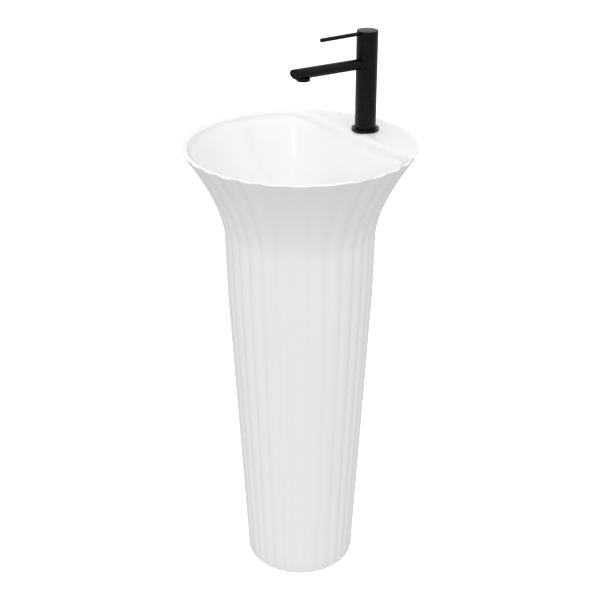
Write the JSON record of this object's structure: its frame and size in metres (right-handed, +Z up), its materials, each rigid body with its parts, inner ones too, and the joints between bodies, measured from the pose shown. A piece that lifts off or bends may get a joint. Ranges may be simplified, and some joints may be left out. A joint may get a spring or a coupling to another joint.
{
  "type": "pedestal sink",
  "caption": "Free-standing fluted ceramic column that flares into a round wash bowl, with a single-lever mixer tap, push-plug waste and bottle trap.",
  "frame": {"origin": "on the floor, at the centre of the column's foot", "axes": "+Z up, -Y towards the person who stands at the basin, +Y towards the tap and the wall"},
  "size_m": [0.4142, 0.4138, 1.03],
  "materials": {
    "glazed_body": "glossy white glaze",
    "black_tap": "matte black powder coat on brass",
    "chrome_trap": "polished chrome plate",
    "brass_parts": "turned brass",
    "steel_parts": "zinc plated steel",
    "rubber_seals": "black EPDM",
    "white_plastic": "moulded white plastic",
    "disc_ceramic": "ground alumina"
  },
  "bodies": {
    "basin": {"basin_body": "glazed_body", "tap_body": "black_tap", "base_flange": "black_tap", "base_gasket": "rubber_seals", "spout_tube": "black_tap", "spout_end_cap": "black_tap", "aerator_housing": "black_tap", "aerator_insert": "white_plastic", "aerator_seal": "rubber_seals", "cartridge_seal": "rubber_seals", "fixed_disc": "disc_ceramic", "cartridge_housing": "white_plastic", "cartridge_nut": "brass_parts", "mounting_stud": "steel_parts", "horseshoe_seal": "rubber_seals", "horseshoe_plate": "steel_parts", "stud_nut": "brass_parts", "waste_upper_seal": "rubber_seals", "waste_body": "black_tap", "plug_cartridge": "brass_parts", "waste_lower_seal": "rubber_seals", "waste_slip_washer": "white_plastic", "waste_locknut": "brass_parts", "trap_inlet_nut": "chrome_trap", "trap_inlet_washer": "rubber_seals", "trap_inlet_tube": "chrome_trap", "trap_head_nut": "chrome_trap", "trap_head_washer": "rubber_seals", "trap_head": "chrome_trap", "trap_cup": "chrome_trap", "trap_cup_seal": "rubber_seals", "trap_outlet_nut": "chrome_trap", "trap_outlet_washer": "rubber_seals", "waste_pipe": "chrome_trap"},
    "rotor": {"cartridge_rotor": "white_plastic", "pivot_pin": "steel_parts"},
    "handle": {"handle_cap": "black_tap", "lever_pin": "black_tap", "spindle": "brass_parts", "grub_screw": "steel_parts", "screw_plug": "rubber_seals"},
    "valve_disc": {"moving_disc": "disc_ceramic", "disc_carrier": "white_plastic"},
    "plug": {"plug_cap": "black_tap", "plug_stem": "steel_parts", "plug_seal": "rubber_seals"}
  },
  "joints": [
    {"name": "handle_turn", "type": "hinge", "parent": "basin", "child": "rotor", "pos_m": [0, 0.143, 0.99], "axis": [0, 0, 1], "range_deg": [-45, 45]},
    {"name": "handle_lift", "type": "hinge", "parent": "rotor", "child": "handle", "pos_m": [0, 0.143, 0.9991], "axis": [-1, 0, 0], "range_deg": [0, 16]},
    {"name": "disc_slide", "type": "slide", "parent": "rotor", "child": "valve_disc", "axis": [0, -1, 0], "range_m": [0, 0.0016]},
    {"name": "plug_travel", "type": "slide", "parent": "basin", "child": "plug", "axis": [0, 0, 1], "range_m": [0, 0.007]}
  ],
  "couplings": [
    {"joint": "disc_slide", "follows": "handle_lift", "m_per_rad": 0.005}
  ]
}
